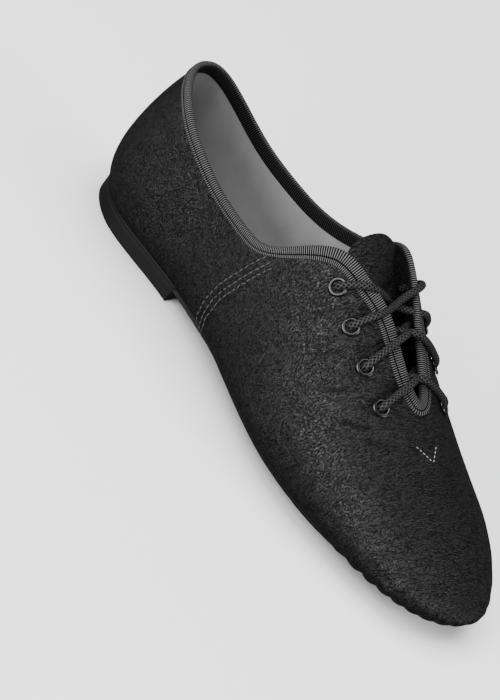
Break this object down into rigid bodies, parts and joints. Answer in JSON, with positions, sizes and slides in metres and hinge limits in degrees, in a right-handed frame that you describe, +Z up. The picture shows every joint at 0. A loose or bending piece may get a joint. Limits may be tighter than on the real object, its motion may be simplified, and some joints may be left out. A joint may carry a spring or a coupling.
{
  "type": "jazz shoe",
  "caption": "Low black leather lace-up dance shoe for the right foot, with a ribbon-bound collar, a suede sole patch and a low rubber heel.",
  "frame": {"origin": "on the floor, at the middle of the heel block's floor face", "axes": "+X from heel to toe, +Y towards the shoe's inner side, +Z up"},
  "size_m": [0.2501, 0.0897, 0.0847],
  "materials": {
    "leather": "soft black leather with a fine grain",
    "ribbon": "ribbed black ribbon",
    "suede": "napped black suede",
    "rubber": "satin black rubber",
    "board": "grey woven cover",
    "enamel": "black enamel with a worn bright rim",
    "braid": "matt black round braid"
  },
  "bodies": {
    "root": {"upper": "leather", "topline_ribbon": "ribbon", "outsole": "suede", "heel": "rubber", "insole": "board", "tongue": "leather", "eyelet_lateral_1": "enamel", "eyelet_lateral_2": "enamel", "eyelet_lateral_3": "enamel", "eyelet_lateral_4": "enamel", "eyelet_medial_1": "enamel", "eyelet_medial_2": "enamel", "eyelet_medial_3": "enamel", "eyelet_medial_4": "enamel", "lace_bar": "braid", "lace_crossing_low": "braid", "lace_crossing_middle": "braid", "lace_crossing_top": "braid"}
  },
  "joints": []
}
